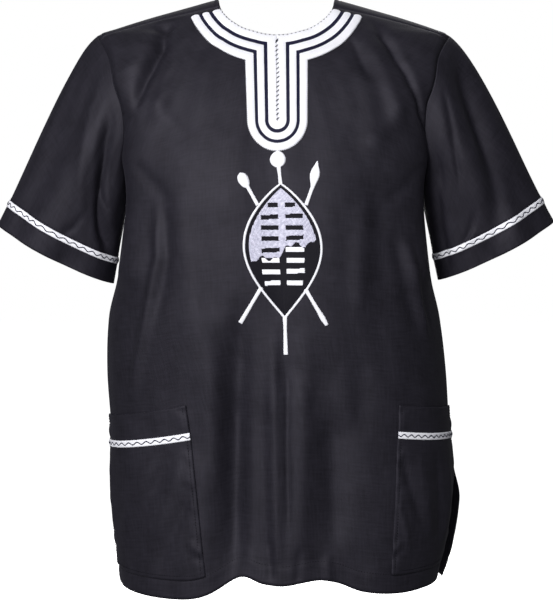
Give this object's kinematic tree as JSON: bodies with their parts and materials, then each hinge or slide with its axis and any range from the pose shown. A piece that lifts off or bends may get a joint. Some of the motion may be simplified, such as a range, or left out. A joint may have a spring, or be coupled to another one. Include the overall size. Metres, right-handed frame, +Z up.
{
  "type": "short-sleeved tunic shirt",
  "caption": "Collarless short-sleeved tunic shirt filled out as worn, with a trimmed key-hole neck, braided sleeves and patch pockets, side vents and an open hollow inside.",
  "frame": {"origin": "midway between the two neck points on top of the shoulders, where the wearer's shoulders carry the shirt", "axes": "+Z up, -Y is the way the front faces, +X to the right of a viewer who looks at the front"},
  "size_m": [0.728, 0.2873, 0.7621],
  "materials": {
    "black_cloth": "matt plain-weave black linen with a faint sheen",
    "white_thread": "dense white satin-stitch thread and woven braid"
  },
  "bodies": {
    "root": {"front": "black_cloth", "back": "black_cloth", "sleeve_left": "black_cloth", "sleeve_right": "black_cloth", "pocket_left": "black_cloth", "pocket_right": "black_cloth", "neck_trim": "white_thread", "braid_sleeve_left": "white_thread", "braid_sleeve_right": "white_thread", "braid_pocket_left": "white_thread", "braid_pocket_right": "white_thread"}
  },
  "joints": []
}
